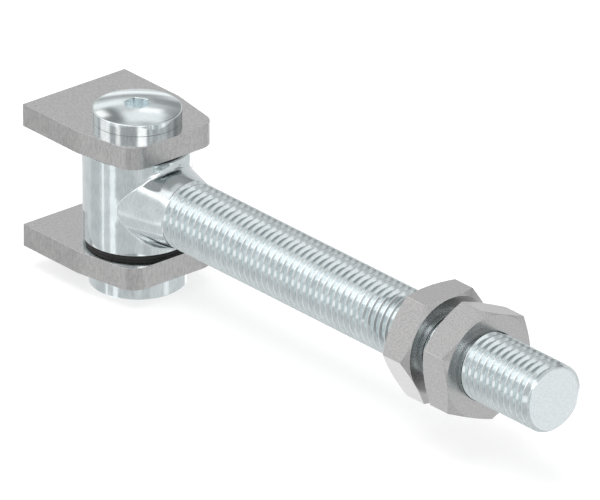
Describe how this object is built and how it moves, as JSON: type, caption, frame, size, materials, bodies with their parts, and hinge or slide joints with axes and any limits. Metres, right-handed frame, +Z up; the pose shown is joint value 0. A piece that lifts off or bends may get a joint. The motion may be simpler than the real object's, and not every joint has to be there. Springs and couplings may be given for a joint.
{
  "type": "gate hinge",
  "caption": "Weld-on adjustable gate hinge: weld lugs hold a domed pin, on which an eye bolt swings; jam nuts on its threaded rod clamp the gate.",
  "frame": {"origin": "centre of the lower lug's weld face", "axes": "+X out of the weld faces' back, past the pin and along the threaded rod at rest, +Z up along the hinge pin, +Y across the lugs"},
  "size_m": [0.2465, 0.044, 0.0649],
  "materials": {
    "raw_steel": "bare, lightly ground",
    "zinc_plated": "bright zinc plate",
    "black_polymer": "matt"
  },
  "bodies": {
    "post_side": {"upper_lug": "raw_steel", "lower_lug": "raw_steel", "hinge_pin": "zinc_plated", "round_nut": "zinc_plated"},
    "gate_rod": {"eye_bolt": "zinc_plated", "upper_bush": "black_polymer", "lower_bush": "black_polymer"},
    "inner_nut": {"inner_nut": "raw_steel"},
    "outer_nut": {"outer_nut": "raw_steel"}
  },
  "joints": [
    {"name": "gate_swing", "type": "hinge", "parent": "post_side", "child": "gate_rod", "pos_m": [0.0332, 0, 0.022], "axis": [0, 0, 1], "range_deg": [-90, 90]},
    {"name": "inner_nut_travel", "type": "slide", "parent": "gate_rod", "child": "inner_nut", "axis": [1, 0, 0], "range_m": [-0.12, 0.003]},
    {"name": "outer_nut_travel", "type": "slide", "parent": "gate_rod", "child": "outer_nut", "axis": [1, 0, 0], "range_m": [-0.003, 0.03]}
  ]
}
